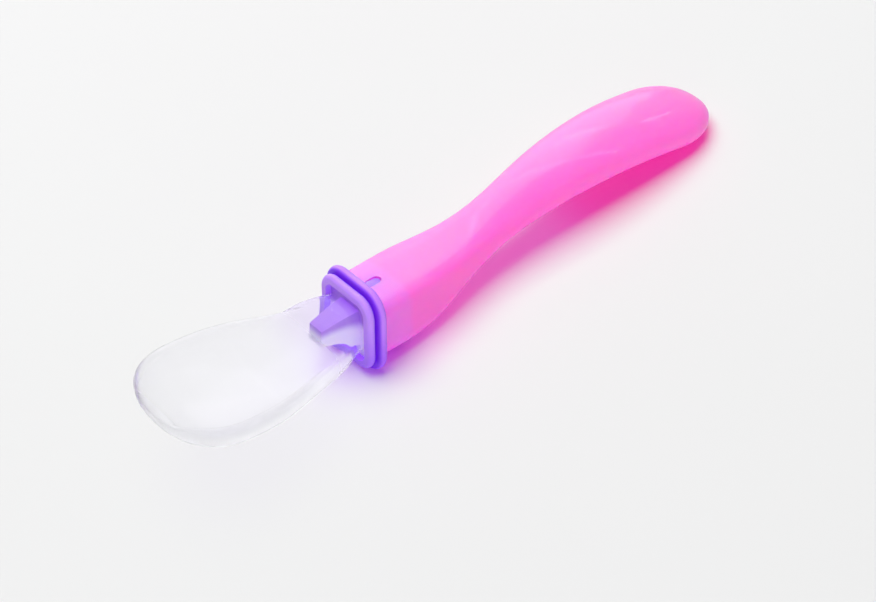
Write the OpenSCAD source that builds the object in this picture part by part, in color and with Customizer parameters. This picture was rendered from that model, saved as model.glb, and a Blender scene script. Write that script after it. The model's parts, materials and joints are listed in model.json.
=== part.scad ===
// Baby feeding spoon: a clear soft bowl moulded on a violet core, a soft violet collar
// and a pink S-curved handle that the core plugs into and latches in.
// Everything is drawn along the head axis, with the bowl at -X, the handle's mouth at
// X = 0 and +Z up, and is then set down on the table on the collar's foot and the tail.

/* [Handle] */
// Length of the handle from its mouth to the tip of its tail
handle_len = 95; // [86:0.5:110]
// Width of the handle at its mouth
mouth_w = 16.3; // [15.6:0.1:18]
// Height of the handle at its mouth
mouth_h = 13.7; // [13.3:0.1:15]
// Width of the shoulder behind the mouth
shoulder_w = 16.1; // [15.6:0.1:19]
// Height of the shoulder behind the mouth
shoulder_h = 12.8; // [12.6:0.1:15]
// Width of the waist
waist_w = 13; // [10:0.1:15]
// Height of the waist
waist_h = 8.8; // [8:0.1:12]
// Width of the grip over the arch
grip_w = 15.3; // [13:0.1:19]
// Height of the grip over the arch
grip_h = 9.1; // [8:0.1:12]
// Width of the paddle at the tail
paddle_w = 21; // [17:0.1:25]
// Height of the paddle at the tail
paddle_h = 9.5; // [7:0.1:12]
// Rise of the handle's middle line above the head axis at the top of the arch
arch_rise = 16.6; // [13:0.1:20]
// Length of the rounded end of the tail
tail_round = 13; // [8:0.5:16]
// Squareness of the section at the mouth, where 2 is an ellipse
mouth_squareness = 5.5; // [3.5:0.1:7]
// Squareness of the section along the grip
grip_squareness = 2.4; // [2:0.1:3]

/* [Bowl] */
// Length from the mouth of the handle to the tip of the bowl
head_len = 51.5; // [45:0.5:60]
// Greatest width of the bowl
bowl_w = 31.8; // [26:0.1:38]
// Depth of the bowl outside, from its rim
bowl_depth = 9.2; // [8:0.1:13]
// Thickness of the soft wall
bowl_wall = 1.9; // [1.4:0.1:2.4]
// Length of the rounded tip of the bowl
tip_round = 14; // [10:0.5:18]
// Height of the rim above the head axis
rim_rise = 0.6; // [0:0.1:2]
// Width of the neck in the collar
neck_w = 12.8; // [11:0.1:13.1]
// Height of the neck in the collar
neck_h = 10.8; // [9:0.1:11.4]
// Squareness of the bowl's section, where 2 is an ellipse
bowl_squareness = 2.3; // [2:0.1:3]

/* [Collar] */
// Width of the collar's hole, which the hub of the core fills
hub_w = 13.2; // [13:0.1:14.2]
// Height of the collar's hole
hub_h = 14; // [12:0.1:14.4]
// Corner radius of the collar's hole
hub_r = 2.4; // [2:0.1:4.5]
// Length of the hub inside the collar
hub_len = 2.8; // [2:0.1:3.6]
// Length of the collar along the head axis
collar_len = 4.2; // [4:0.1:6]
// Thickness of the rear lip
rear_lip_t = 2.1; // [1.6:0.1:2.4]
// Reach of the rear lip from the hole
rear_lip_reach = 3.1; // [2.2:0.1:3.6]
// Thickness of the front lip
front_lip_t = 1.9; // [1.6:0.1:2.2]
// Reach of the front lip from the hole
front_lip_reach = 2; // [1.5:0.1:3]
// Thickness of the ring at the bottom of the groove between the lips
groove_t = 1.1; // [0.8:0.1:1.4]
// Depth of the flat that the collar stands on
foot_flat = 0.2; // [0.1:0.05:0.3]

/* [Core] */
// Length of the tongue ahead of the hub
tongue_len = 8.6; // [6:0.1:11]
// Width of the tongue at the hub
tongue_w = 6; // [4:0.1:8]
// Width of the tongue at its front end
tongue_tip_w = 4.2; // [3:0.1:7]
// Height of the tongue at the hub
tongue_h = 8; // [6:0.1:9]
// Height of the tongue at its front end
tongue_tip_h = 4.2; // [3:0.1:6]
// Width of the plug in the handle
plug_w = 12.4; // [11:0.1:12.8]
// Height of the plug in the handle
plug_h = 11.2; // [10.4:0.1:11.4]
// Corner radius of the plug
plug_r = 2; // [1:0.1:3]
// Length of the plug
plug_len = 7; // [6:0.1:9]
// Width of the stem behind the plug
stem_w = 7; // [6:0.1:8]
// Length of the stem behind the plug
stem_len = 7.2; // [6:0.1:8]
// Height of the stem
stem_h = 4.6; // [3:0.1:5]

/* [Latch] */
// Width of the latch finger
finger_w = 4.4; // [3.4:0.1:5]
// Thickness of the latch finger
finger_t = 1.1; // [0.8:0.1:1.4]
// Length of the block at the stem's end that the finger is rooted in
root_len = 2; // [1.5:0.1:3]
// Length of the window in the handle
window_len = 3.9; // [3:0.1:4.6]
// Width of the window in the handle
window_w = 2.3; // [1.8:0.1:3]
// Distance from the handle's mouth to the middle of the window
window_at = 3.2; // [3:0.1:4.2]
// Angle that the finger is pressed through to free the plug
press_angle = 14; // [8:1:16]

/* [Fits] */
// Clearance on each side of the plug and stem in the handle
plug_fit = 0.05; // [0.03:0.01:0.1]
// Clearance round the nub in the window
nub_fit = 0.18; // [0.1:0.01:0.25]
// Clearance round the finger's root in its seat
root_fit = 0.04; // [0.02:0.01:0.08]
// Clearance round the finger in its channel
channel_fit = 0.3; // [0.2:0.05:0.5]
// Gap between the collar and the handle
collar_gap = 0.05; // [0.02:0.01:0.15]

/* [Hidden] */
$fn = 64;

// Overrun that carries a cut past the face it opens
overrun = 1;

// Stations along the handle as shares of its length, with each section's size there
shoulder_share = 0.146;
waist_share = 0.276;
grip_share = 0.496;
paddle_share = 0.827;
handle_widths = [
    [0, mouth_w],
    [shoulder_share * handle_len, shoulder_w],
    [waist_share * handle_len, waist_w],
    [grip_share * handle_len, grip_w],
    [paddle_share * handle_len, paddle_w],
    [handle_len, paddle_w]
];
handle_heights = [
    [0, mouth_h],
    [shoulder_share * handle_len, shoulder_h],
    [waist_share * handle_len, waist_h],
    [grip_share * handle_len, grip_h],
    [paddle_share * handle_len, paddle_h],
    [handle_len, paddle_h]
];
// Middle line of the handle: shares of its length and of the arch's rise
rise_shares = [[0, 0], [0.156, 0.135], [0.324, 0.462], [0.512, 0.821], [0.644, 0.958], [0.777, 1], [0.9, 0.968], [1, 0.96]];
handle_rises = [for (s = rise_shares) [s[0] * handle_len, s[1] * arch_rise]];
// Where the squared mouth starts to turn oval and where it has done so, along the handle
square_share = 0.12;
oval_share = 0.4;

// Sections of the bowl from its tip: shares of the head's length and of width or depth
bowl_width_shares = [[0, 0.97], [0.14, 0.99], [0.26, 1], [0.42, 0.98], [0.57, 0.86], [0.7, 0.71], [0.82, 0.57]];
bowl_depth_shares = [[0, 0.8], [0.2, 0.95], [0.4, 1], [0.6, 0.9], [0.75, 0.72], [0.85, 0.6]];
// Length of the neck's straight end
neck_end = 1.2;
// Where the trough starts to fill up into the neck, and where it has done so
trough_share = 0.52;
crown_share = 0.9;
// Width left at the solid tip, as a share of the bowl's own width there
solid_tip_share = 0.8;
// Squareness of the neck's section
neck_squareness = 3.4;
// Least width of the seam between the upper and lower half of the neck
seam = 0.3;
// Crown of the rim, as a share of its width
rim_share = 0.3;

// Points round half a section and rings along each body
side_points = 20;
handle_rings = 26;
tail_rings = 12;
bowl_rings = 24;
tip_rings = 10;
// How round the ends close, and where their last section is drawn
tail_power = 2.2;
tip_power = 2.3;
end_share = 0.998;

// Bends (second derivatives) of the smoothest curve through points [at, size]
function bend_rows(p, i = 1, rows = [[0, 0]]) =
    i > len(p) - 2 ? rows
    : let (
        back = p[i][0] - p[i - 1][0],
        ahead = p[i + 1][0] - p[i][0],
        turn = 6 * ((p[i + 1][1] - p[i][1]) / ahead - (p[i][1] - p[i - 1][1]) / back),
        pivot = 2 * (back + ahead) - back * rows[i - 1][0]
    )
    bend_rows(p, i + 1, concat(rows, [[ahead / pivot, (turn - back * rows[i - 1][1]) / pivot]]));
function bends_back(rows, i, found) =
    i < 1 ? concat([0], found)
    : bends_back(rows, i - 1, concat([rows[i][1] - rows[i][0] * found[0]], found));
function bends(p) = bends_back(bend_rows(p), len(p) - 2, [0]);

// Size at a place on that curve
function piece(p, at, i = 0) = i >= len(p) - 2 || at < p[i + 1][0] ? i : piece(p, at, i + 1);
function smooth_at(p, m, at) =
    let (
        i = piece(p, at),
        span = p[i + 1][0] - p[i][0],
        a = (p[i + 1][0] - at) / span,
        b = (at - p[i][0]) / span
    )
    a * p[i][1] + b * p[i + 1][1]
    + ((a * a * a - a) * m[i] + (b * b * b - b) * m[i + 1]) * span * span / 6;

// Even blend from 0 to 1 between two places
function blend(at, from, to) =
    let (t = min(max((at - from) / (to - from), 0), 1)) t * t * (3 - 2 * t);
// How far a rounded end has closed: 1 where it starts, 0 at its tip
function closing(t, power) = pow(max(1 - pow(min(max(t, 0), 1), power), 0), 1 / power);
// Signed power that squares off a cosine or sine
function squared(v, squareness) = sign(v) * pow(abs(v), 2 / squareness);
// Half of a section, from side to side over the top (from 0) or under the bottom (from 180)
function half_section(x, half_w, z, rise, squareness, from) = [
    for (k = [0 : side_points])
        let (t = from + 180 * k / side_points)
        [x, half_w * squared(cos(t), squareness), z + rise * squared(sin(t), squareness)]
];

// Handle: squared-off ovals along the rising middle line
handle_width_bends = bends(handle_widths);
handle_height_bends = bends(handle_heights);
handle_rise_bends = bends(handle_rises);
tail_from = handle_len - tail_round;
function handle_closing(x) = closing((x - tail_from) / tail_round, tail_power);
function handle_half_w(x) = smooth_at(handle_widths, handle_width_bends, x) / 2 * handle_closing(x);
function handle_half_h(x) = smooth_at(handle_heights, handle_height_bends, x) / 2 * handle_closing(x);
function handle_mid(x) = smooth_at(handle_rises, handle_rise_bends, x);
function handle_squareness(x) =
    mouth_squareness
    + (grip_squareness - mouth_squareness) * blend(x, square_share * handle_len, oval_share * handle_len);
function handle_half(x, from) =
    half_section(x, handle_half_w(x), handle_mid(x), handle_half_h(x), handle_squareness(x), from);
handle_xs = concat(
    [for (i = [0 : handle_rings - 1]) tail_from * i / handle_rings],
    [for (i = [0 : tail_rings]) tail_from + tail_round * end_share * sin(90 * i / tail_rings)]
);
handle_sections = [
    for (x = handle_xs)
        let (over = handle_half(x, 0), under = handle_half(x, 180))
        [for (k = [0 : 2 * side_points - 1]) k < side_points ? over[k] : under[k - side_points]]
];

// Bowl: an open trough in a rounded plan, filling up into the oval neck
tip_x = -head_len;
neck_x = -hub_len;
bowl_widths = concat(
    [for (s = bowl_width_shares) [tip_x + s[0] * head_len, s[1] * bowl_w]],
    [[neck_x - neck_end, neck_w], [neck_x, neck_w]]
);
bowl_depths = concat(
    [for (s = bowl_depth_shares) [tip_x + s[0] * head_len, s[1] * bowl_depth]],
    [[neck_x - neck_end, neck_h / 2], [neck_x, neck_h / 2]]
);
bowl_width_bends = bends(bowl_widths);
bowl_depth_bends = bends(bowl_depths);
// 1 along the trough, 0 in the neck
function open_at(x) = 1 - blend(x, tip_x + trough_share * head_len, tip_x + crown_share * head_len);
function outer_closing(x) = closing((tip_x + tip_round - x) / tip_round, tip_power);
function inner_closing(x) = closing((tip_x + tip_round - x) / (tip_round - bowl_wall), tip_power);
function full_half_w(x) = smooth_at(bowl_widths, bowl_width_bends, x) / 2;
function full_depth(x) = smooth_at(bowl_depths, bowl_depth_bends, x);
function outer_half_w(x) = full_half_w(x) * outer_closing(x);
function inner_half_w(x) =
    let (trough = max((full_half_w(x) - bowl_wall) * inner_closing(x), outer_half_w(x) * solid_tip_share))
    trough * open_at(x) + (outer_half_w(x) - seam) * (1 - open_at(x));
function tip_crown(x) = rim_share * bowl_wall * outer_closing(x) * (1 - inner_closing(x));
function top_rise(x) =
    neck_h / 2 * (1 - open_at(x))
    + (tip_crown(x) - (full_depth(x) - bowl_wall) * inner_closing(x)) * open_at(x);
function rim_z(x) = rim_rise * open_at(x);
function bowl_squareness_at(x) = neck_squareness + (bowl_squareness - neck_squareness) * open_at(x);
function bowl_section(x) =
    let (
        outer = outer_half_w(x),
        inner = inner_half_w(x),
        z = rim_z(x),
        shape = bowl_squareness_at(x),
        edge = (outer + inner) / 2,
        crown = rim_share * (outer - inner),
        step = 2 * crown * (1 - open_at(x)),
        edge_z = z + crown * inner_closing(x)
    )
    concat(
        half_section(x, outer, z, full_depth(x) * outer_closing(x), shape, 180),
        [[x, edge, edge_z]],
        half_section(x, inner, z + step, top_rise(x) - step, shape, 0),
        [[x, -edge, edge_z]]
    );
trough_from = tip_x + tip_round;
bowl_xs = concat(
    [for (i = [tip_rings : -1 : 1]) trough_from - tip_round * end_share * sin(90 * i / tip_rings)],
    [for (i = [0 : bowl_rings]) trough_from + (neck_x - trough_from) * i / bowl_rings]
);
bowl_sections = [for (x = bowl_xs) bowl_section(x)];

// Rest: the head tilts up until the tail touches the table that the foot stands on
foot_x = -collar_gap - rear_lip_t / 2;
foot_z = -hub_h / 2 - rear_lip_reach + rear_lip_t / 2;
function height_at(x, z, tilt) = z * cos(tilt) - x * sin(tilt);
function foot_low(tilt) = height_at(foot_x, foot_z, tilt) - rear_lip_t / 2 + foot_flat;
function tail_low(tilt) = min([
    for (section = handle_sections) for (p = section)
        if (p.x > paddle_share * handle_len / 2) height_at(p.x, p.z, tilt)
]);
function rest_tilt(tilt, steps) =
    steps < 1 ? tilt
    : rest_tilt(tilt + atan2(tail_low(tilt) - foot_low(tilt), tail_from - foot_x), steps - 1);
tilt = rest_tilt(0, 12);
function along(p) = p.x * cos(tilt) + p.z * sin(tilt);
tip_along = min([for (section = bowl_sections) for (p = section) along(p)]);
tail_along = max([for (section = handle_sections) for (p = section) along(p)]);

// Sets the spoon down with its middle over the origin and the table at z = 0
module at_rest() {
    translate([-(tip_along + tail_along) / 2, 0, -foot_low(tilt)])
        rotate([0, tilt, 0])
            children();
}

// Closed surface through rings of points that follow each other along +X
module skin(rings) {
    count = len(rings[0]);
    last = len(rings) - 1;
    sides = [
        for (r = [0 : last - 1]) for (k = [0 : count - 1])
            let (a = r * count + k, b = r * count + (k + 1) % count)
            each [[a, a + count, b + count], [a, b + count, b]]
    ];
    // Each end closes in a fan round its middle
    middles = [for (end = [0, last]) (rings[end][count / 4] + rings[end][count * 3 / 4]) / 2];
    middle = len(rings) * count;
    front = [for (k = [0 : count - 1]) [middle, k, (k + 1) % count]];
    back = [for (k = [0 : count - 1]) [middle + 1, last * count + (k + 1) % count, last * count + k]];
    polyhedron(points = concat([for (ring = rings) each ring], middles), faces = concat(sides, front, back));
}

// Rounded rectangle across the head axis
module rounded_rect(w, h, r) {
    square([w - 2 * r, h], center = true);
    square([w, h - 2 * r], center = true);
    for (y = [-1, 1]) for (z = [-1, 1])
        translate([y * (w / 2 - r), z * (h / 2 - r)])
            circle(r);
}

// Turns a shape drawn upright so that its height runs along the head axis
module along_axis(x) {
    translate([x, 0, 0])
        rotate([90, 0, 90])
            children();
}

module bar(x, length, w, h, r) {
    along_axis(x)
        linear_extrude(length)
            rounded_rect(w, h, r);
}

// Tongue that the bowl is moulded round, a wedge on both sides and both faces
module tongue(rear = 0) {
    growth = 1 + rear / tongue_len;
    rear_h = tongue_tip_h + (tongue_h - tongue_tip_h) * growth;
    rear_w = tongue_tip_w + (tongue_w - tongue_tip_w) * growth;
    intersection() {
        rotate([90, 0, 0])
            linear_extrude(rear_w + overrun, center = true)
                wedge(tongue_tip_h, rear_h, rear);
        linear_extrude(rear_h + overrun, center = true)
            wedge(tongue_tip_w, rear_w, rear);
    }
}

module wedge(tip_size, rear_size, rear) {
    tip = -hub_len - tongue_len;
    end = rear - hub_len;
    polygon([[tip, -tip_size / 2], [end, -rear_size / 2], [end, rear_size / 2], [tip, tip_size / 2]]);
}

module bowl() {
    color([0.93, 0.94, 0.98, 0.5])
        at_rest()
            difference() {
                skin(bowl_sections);
                tongue(overrun);
            }
}

// Latch: a finger rooted on the stem, whose nub stands in the window of the handle
stem_end = plug_len + stem_len;
hinge_x = stem_end - root_len;
finger_top = plug_h / 2;
finger_lead = 0.5;
// Depth that the finger's seat reaches into the stem
root_seat_t = 1;
nub_len = window_len - 2 * nub_fit;
nub_w = window_w - 2 * nub_fit;
nub_front = window_at - nub_len / 2;
finger_front = nub_front - finger_lead;
press_drop = (hinge_x - finger_front) * sin(press_angle);
channel_floor = finger_top - finger_t - press_drop - channel_fit;
nub_top = handle_mid(window_at) + handle_half_h(window_at) - nub_fit;

module core() {
    color([0.55, 0.38, 0.95])
        at_rest() {
            tongue();
            bar(-hub_len, hub_len, hub_w, hub_h, hub_r);
            difference() {
                bar(0, plug_len, plug_w, plug_h, plug_r);
                translate([finger_front - channel_fit, -finger_w / 2 - channel_fit, channel_floor])
                    cube([plug_len, finger_w + 2 * channel_fit, plug_h]);
            }
            translate([plug_len - root_len, -stem_w / 2, channel_floor - stem_h])
                cube([stem_len + root_len, stem_w, stem_h]);
            difference() {
                translate([hinge_x, -stem_w / 2, channel_floor - root_seat_t])
                    cube([root_len, stem_w, finger_top - channel_floor + root_seat_t]);
                finger_root(stem_w + overrun, finger_t + 2 * root_fit);
            }
        }
}

// Round root of the finger, or the seat for it, across the head axis at the hinge
module finger_root(length, d) {
    translate([hinge_x, 0, finger_top - finger_t / 2])
        rotate([90, 0, 0])
            cylinder(d = d, h = length, center = true);
}

// Flat-sided pill standing on the finger or cut through the handle
module pill(length, w, from, to) {
    translate([window_at, 0, from]) {
        for (x = [-1, 1])
            translate([x * (length - w) / 2, 0, 0])
                cylinder(d = w, h = to - from);
        translate([-(length - w) / 2, -w / 2, 0])
            cube([length - w, w, to - from]);
    }
}

module latch_finger() {
    color([0.6, 0.44, 0.96])
        at_rest() {
            translate([finger_front, -finger_w / 2, finger_top - finger_t])
                cube([hinge_x - finger_front, finger_w, finger_t]);
            finger_root(finger_w, finger_t);
            pill(nub_len, nub_w, finger_top - finger_t / 2, nub_top);
        }
}

// Profile of the collar: reach from its hole by place along the head axis
module collar_profile() {
    translate([0, -collar_len])
        square([groove_t, collar_len - collar_gap]);
    lip(-collar_len + front_lip_t / 2, front_lip_t, front_lip_reach);
    lip(-collar_gap - rear_lip_t / 2, rear_lip_t, rear_lip_reach);
}

module lip(at, thickness, reach) {
    translate([0, at - thickness / 2])
        square([reach - thickness / 2, thickness]);
    translate([reach - thickness / 2, at])
        circle(d = thickness);
}

// The profile run round the hub: four straight sides and four corners
module collar_ring() {
    across = hub_w - 2 * hub_r;
    up = hub_h - 2 * hub_r;
    along_axis(0)
        for (turn = [0 : 3]) {
            straight = turn % 2 == 0 ? up : across;
            reach = turn % 2 == 0 ? hub_w / 2 : hub_h / 2;
            rotate([0, 0, 90 * turn]) {
                translate([reach, straight / 2, 0])
                    rotate([90, 0, 0])
                        linear_extrude(straight)
                            collar_profile();
                translate([reach - hub_r, straight / 2, 0])
                    rotate_extrude(angle = 90)
                        translate([hub_r, 0])
                            collar_profile();
            }
        }
}

module collar() {
    color([0.63, 0.47, 0.98])
        difference() {
            at_rest()
                collar_ring();
            translate([-head_len, -head_len, -overrun])
                cube([2 * head_len, 2 * head_len, overrun]);
        }
}

module handle() {
    color([1, 0.45, 0.83])
        at_rest()
            difference() {
                skin(handle_sections);
                bar(
                    -overrun, plug_len + plug_fit + overrun,
                    plug_w + 2 * plug_fit, plug_h + 2 * plug_fit, plug_r + plug_fit
                );
                translate([plug_len - overrun, -stem_w / 2 - plug_fit, channel_floor - stem_h - plug_fit])
                    cube([
                        stem_len + overrun + plug_fit,
                        stem_w + 2 * plug_fit,
                        finger_top + plug_fit - (channel_floor - stem_h - plug_fit)
                    ]);
                pill(window_len, window_w, finger_top - overrun, nub_top + overrun);
            }
}

bowl();
core();
latch_finger();
collar();
handle();
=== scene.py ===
"""Baby feeding spoon on a pale table: clear bowl, violet core and collar, pink curved handle.

Shapes and places are in the head's own axes, in millimetres, and set down at rest by HeadFrame,
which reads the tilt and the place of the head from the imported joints. Noise is in spots a metre.
"""
import json
import logging
import math
from collections.abc import Sequence
from dataclasses import dataclass, field
from enum import Enum

import bmesh
import bpy
import numpy as np
from bpy.types import Camera, Light, Material, Mesh, Node, Object, World
from mathutils import Matrix, Vector


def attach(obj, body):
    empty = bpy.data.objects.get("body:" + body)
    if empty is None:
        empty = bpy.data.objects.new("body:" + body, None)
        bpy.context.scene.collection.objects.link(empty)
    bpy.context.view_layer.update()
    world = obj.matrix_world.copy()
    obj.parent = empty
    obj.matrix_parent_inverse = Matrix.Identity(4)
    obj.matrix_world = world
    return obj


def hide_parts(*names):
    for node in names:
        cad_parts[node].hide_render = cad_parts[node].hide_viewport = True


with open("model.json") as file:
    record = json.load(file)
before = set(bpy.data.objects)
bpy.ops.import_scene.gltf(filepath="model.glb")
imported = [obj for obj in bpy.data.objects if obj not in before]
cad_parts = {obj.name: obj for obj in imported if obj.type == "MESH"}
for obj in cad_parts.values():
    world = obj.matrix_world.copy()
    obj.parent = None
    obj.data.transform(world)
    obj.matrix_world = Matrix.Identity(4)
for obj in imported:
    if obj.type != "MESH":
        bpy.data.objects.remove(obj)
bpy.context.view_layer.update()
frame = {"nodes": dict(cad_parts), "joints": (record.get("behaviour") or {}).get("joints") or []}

LOG = logging.getLogger("spoon")
MM = 0.001
WELD_MM = 0.002
FLAT_DEG = 1.0
SMOOTH_DEG = 38.0
SOFT_DEG = 60.0
BEVEL_DEG = 35.0
BEVEL_STEPS = 3

Colour = tuple[float, float, float]
Span = tuple[float, float]
Triple = tuple[float, float, float]
Stations = Sequence[Span]
Counts = tuple[int, int]
Socket = bpy.types.NodeSocket


class Body(Enum):
    """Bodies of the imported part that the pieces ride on."""

    HANDLE = "handle"
    HEAD = "head"
    LATCH = "latch"


class Slot(Enum):
    """Material slots of the record."""

    CLEAR_SILICONE = "clear_silicone"
    VIOLET_PLASTIC = "violet_plastic"
    VIOLET_RUBBER = "violet_rubber"
    PINK_PLASTIC = "pink_plastic"


class Way(Enum):
    """Ways of the head's own axes along which a finish changes."""

    BACK = (1.0, 0.0, 0.0)
    UP = (0.0, 0.0, 1.0)


class Use(Enum):
    """What a lamp is for: to light surfaces, or to be mirrored in them."""

    LIGHT = "light"
    GLOSS = "gloss"


@dataclass(frozen=True)
class HeadFrame:
    """Axes of the head: X from the bowl to the tail with zero at the handle's mouth, Z up.

    Attributes:
        tilt: Slope of the head axis, in radians.
        mouth: Middle of the handle's mouth at rest, in metres.
    """

    tilt: float
    mouth: Vector

    @classmethod
    def from_joints(cls, joints: list[dict], hinge: Span) -> "HeadFrame":
        """Finds the head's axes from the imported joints.

        Args:
            joints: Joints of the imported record.
            hinge: Place and height of the latch's hinge in the head's axes, in millimetres.

        Returns:
            The head's axes at rest.
        """
        found = {joint["name"]: joint for joint in joints}
        tilt = math.asin(found["head_pull"]["axis"][2])
        arm = cls(tilt, Vector()).turn(hinge[0] * MM, 0, hinge[1] * MM)
        return cls(tilt, Vector(found["latch_press"]["pos_m"]) - arm)

    def turn(self, x: float, y: float, z: float) -> Vector:
        """Turns a direction or size along the head's axes into the rest frame."""
        c, s = math.cos(self.tilt), math.sin(self.tilt)
        return Vector((x * c + z * s, y, z * c - x * s))

    def place(self, points: np.ndarray) -> np.ndarray:
        """Sets points down at rest.

        Args:
            points: Points in head millimetres, one row each.

        Returns:
            The points in the rest frame, in metres.
        """
        c, s = math.cos(self.tilt), math.sin(self.tilt)
        x, y, z = points[..., 0] * MM, points[..., 1] * MM, points[..., 2] * MM
        m = self.mouth
        return np.stack([x * c + z * s + m.x, y + m.y, z * c - x * s + m.z], -1)


class Curve:
    """Smoothest curve through a few sizes, the natural cubic spline."""

    def __init__(self, stations: Stations) -> None:
        """Works out the bends of the curve at its stations.

        Args:
            stations: Place and size of each station, in order.
        """
        self.at, self.size = np.array(stations, float).T
        count = len(stations)
        spans = np.diff(self.at)
        slopes = np.diff(self.size) / spans
        matrix = np.eye(count)
        turns = np.zeros(count)
        for i in range(1, count - 1):
            matrix[i, i - 1 : i + 2] = spans[i - 1], 2 * (spans[i - 1] + spans[i]), spans[i]
            turns[i] = 6 * (slopes[i] - slopes[i - 1])
        self.bends = np.linalg.solve(matrix, turns)

    def __call__(self, place: float) -> float:
        """Gives the size at a place.

        Args:
            place: Where along the curve.

        Returns:
            The size there.
        """
        i = int(np.clip(np.searchsorted(self.at, place, side="right") - 1, 0, len(self.at) - 2))
        span = self.at[i + 1] - self.at[i]
        a = (self.at[i + 1] - place) / span
        b = 1 - a
        bent = (a**3 - a) * self.bends[i] + (b**3 - b) * self.bends[i + 1]
        return float(a * self.size[i] + b * self.size[i + 1] + bent * span**2 / 6)


def blend(place: float, start: float, end: float) -> float:
    """Gives an even blend from 0 at start to 1 at end."""
    t = min(max((place - start) / (end - start), 0.0), 1.0)
    return t * t * (3 - 2 * t)


def between(ends: Span, share: float) -> float:
    """Gives the size at a share of the way between two ends."""
    return ends[0] + (ends[1] - ends[0]) * share


def closing(t: float, power: float) -> float:
    """Gives how open a rounded end still is, from 1 where it starts to 0 at its tip."""
    return max(1 - min(max(t, 0.0), 1.0) ** power, 0.0) ** (1 / power)


def oval(turns: np.ndarray, half_w: float, half_h: float, squareness: float) -> np.ndarray:
    """Draws a squared-off oval.

    Args:
        turns: Angles round the oval, in radians.
        half_w: Half of its width.
        half_h: Half of its height.
        squareness: 2 for an ellipse, more for a squarer shape.

    Returns:
        Y and Z of each point.
    """
    c, s = np.cos(turns), np.sin(turns)
    reach = (np.abs(c) ** squareness + np.abs(s) ** squareness) ** (-1 / squareness)
    return np.stack([half_w * c * reach, half_h * s * reach], -1)


def rounded_oblong(turns: np.ndarray, w: float, h: float, r: float) -> np.ndarray:
    """Draws a rounded oblong at even angles, for a ring that joins an oval one.

    Args:
        turns: Angles round the oblong, in radians.
        w: Width.
        h: Height.
        r: Corner radius.

    Returns:
        Y and Z of each point.
    """
    points = []
    for turn in turns:
        c, s = math.cos(turn), math.sin(turn)
        flat = min(w / 2 / max(abs(c), 1e-9), h / 2 / max(abs(s), 1e-9))
        y, z = abs(c) * flat, abs(s) * flat
        cy, cz = w / 2 - r, h / 2 - r
        if y > cy and z > cz:
            along = abs(c) * cy + abs(s) * cz
            flat = along + math.sqrt(max(along**2 - cy**2 - cz**2 + r**2, 0.0))
        points.append((c * flat, s * flat))
    return np.array(points)


def half_turn(at: float, top: float, r: float, fall: float, steps: int) -> list[Span]:
    """Draws half a turn of radius r round a place, rear end first, with its ends lower by fall."""
    turns = np.linspace(0, math.pi, steps)
    return [(at + r * math.cos(turn), top - fall * (1 - math.sin(turn))) for turn in turns]


def ring(x: float, section: np.ndarray, z: float = 0.0) -> np.ndarray:
    """Stands a section of Y and Z points up at a place along the head axis, raised by z."""
    return np.column_stack([np.full(len(section), x), section[:, 0], section[:, 1] + z])


def make_object(name: str, data: Mesh | Camera | Light) -> Object:
    """Makes an object and links it to the scene.

    Args:
        name: Name of the object.
        data: Its mesh, camera or lamp.

    Returns:
        The object.
    """
    piece = bpy.data.objects.new(name, data)
    bpy.context.scene.collection.objects.link(piece)
    return piece


def shade(piece: Object, sharp_deg: float = SMOOTH_DEG) -> None:
    """Shades a piece smooth, apart from edges that turn sharply.

    Args:
        piece: The piece to shade.
        sharp_deg: Angle from which an edge stays sharp.
    """
    work = bmesh.new()
    work.from_mesh(piece.data)
    bmesh.ops.recalc_face_normals(work, faces=work.faces)
    sharp = math.radians(sharp_deg)
    for face in work.faces:
        face.smooth = True
    for edge in work.edges:
        edge.smooth = len(edge.link_faces) == 2 and edge.calc_face_angle(0.0) < sharp
    work.to_mesh(piece.data)
    work.free()


def skin(name: str, rings: list[np.ndarray], head: HeadFrame, loop: bool = False) -> Object:
    """Makes a closed surface through rings of points.

    Args:
        name: Name of the piece.
        rings: Rings in head millimetres, all with the same count of points.
        head: Axes of the head.
        loop: Whether the last ring joins the first, as round a collar.

    Returns:
        The piece, at rest.
    """
    count = len(rings[0])
    work = bmesh.new()
    verts = [work.verts.new(p) for p in head.place(np.concatenate(rings))]
    for r in range(len(rings) if loop else len(rings) - 1):
        here, there = r * count, (r + 1) % len(rings) * count
        for k in range(count):
            n = (k + 1) % count
            work.faces.new((verts[here + k], verts[here + n], verts[there + n], verts[there + k]))
    if not loop:
        for start in (0, (len(rings) - 1) * count):
            ends = verts[start : start + count]
            middle = work.verts.new(sum((v.co for v in ends), Vector()) / count)
            for k in range(count):
                work.faces.new((middle, ends[k], ends[(k + 1) % count]))
    mesh = bpy.data.meshes.new(name)
    work.to_mesh(mesh)
    work.free()
    return make_object(name, mesh)


def apply_modifiers(piece: Object) -> None:
    """Turns a piece's modifiers into its mesh.

    Args:
        piece: The piece, which has no modifiers afterwards.
    """
    evaluated = piece.evaluated_get(bpy.context.evaluated_depsgraph_get())
    mesh = bpy.data.meshes.new_from_object(evaluated)
    piece.modifiers.clear()
    piece.data = mesh


def cut(piece: Object, cutter: Object) -> None:
    """Cuts one piece out of another and deletes the cutter.

    Args:
        piece: The piece that is cut.
        cutter: The shape that is taken away.
    """
    modifier = piece.modifiers.new("cut", "BOOLEAN")
    modifier.operation = "DIFFERENCE"
    modifier.solver = "EXACT"
    modifier.object = cutter
    apply_modifiers(piece)
    bpy.data.objects.remove(cutter)


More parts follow.
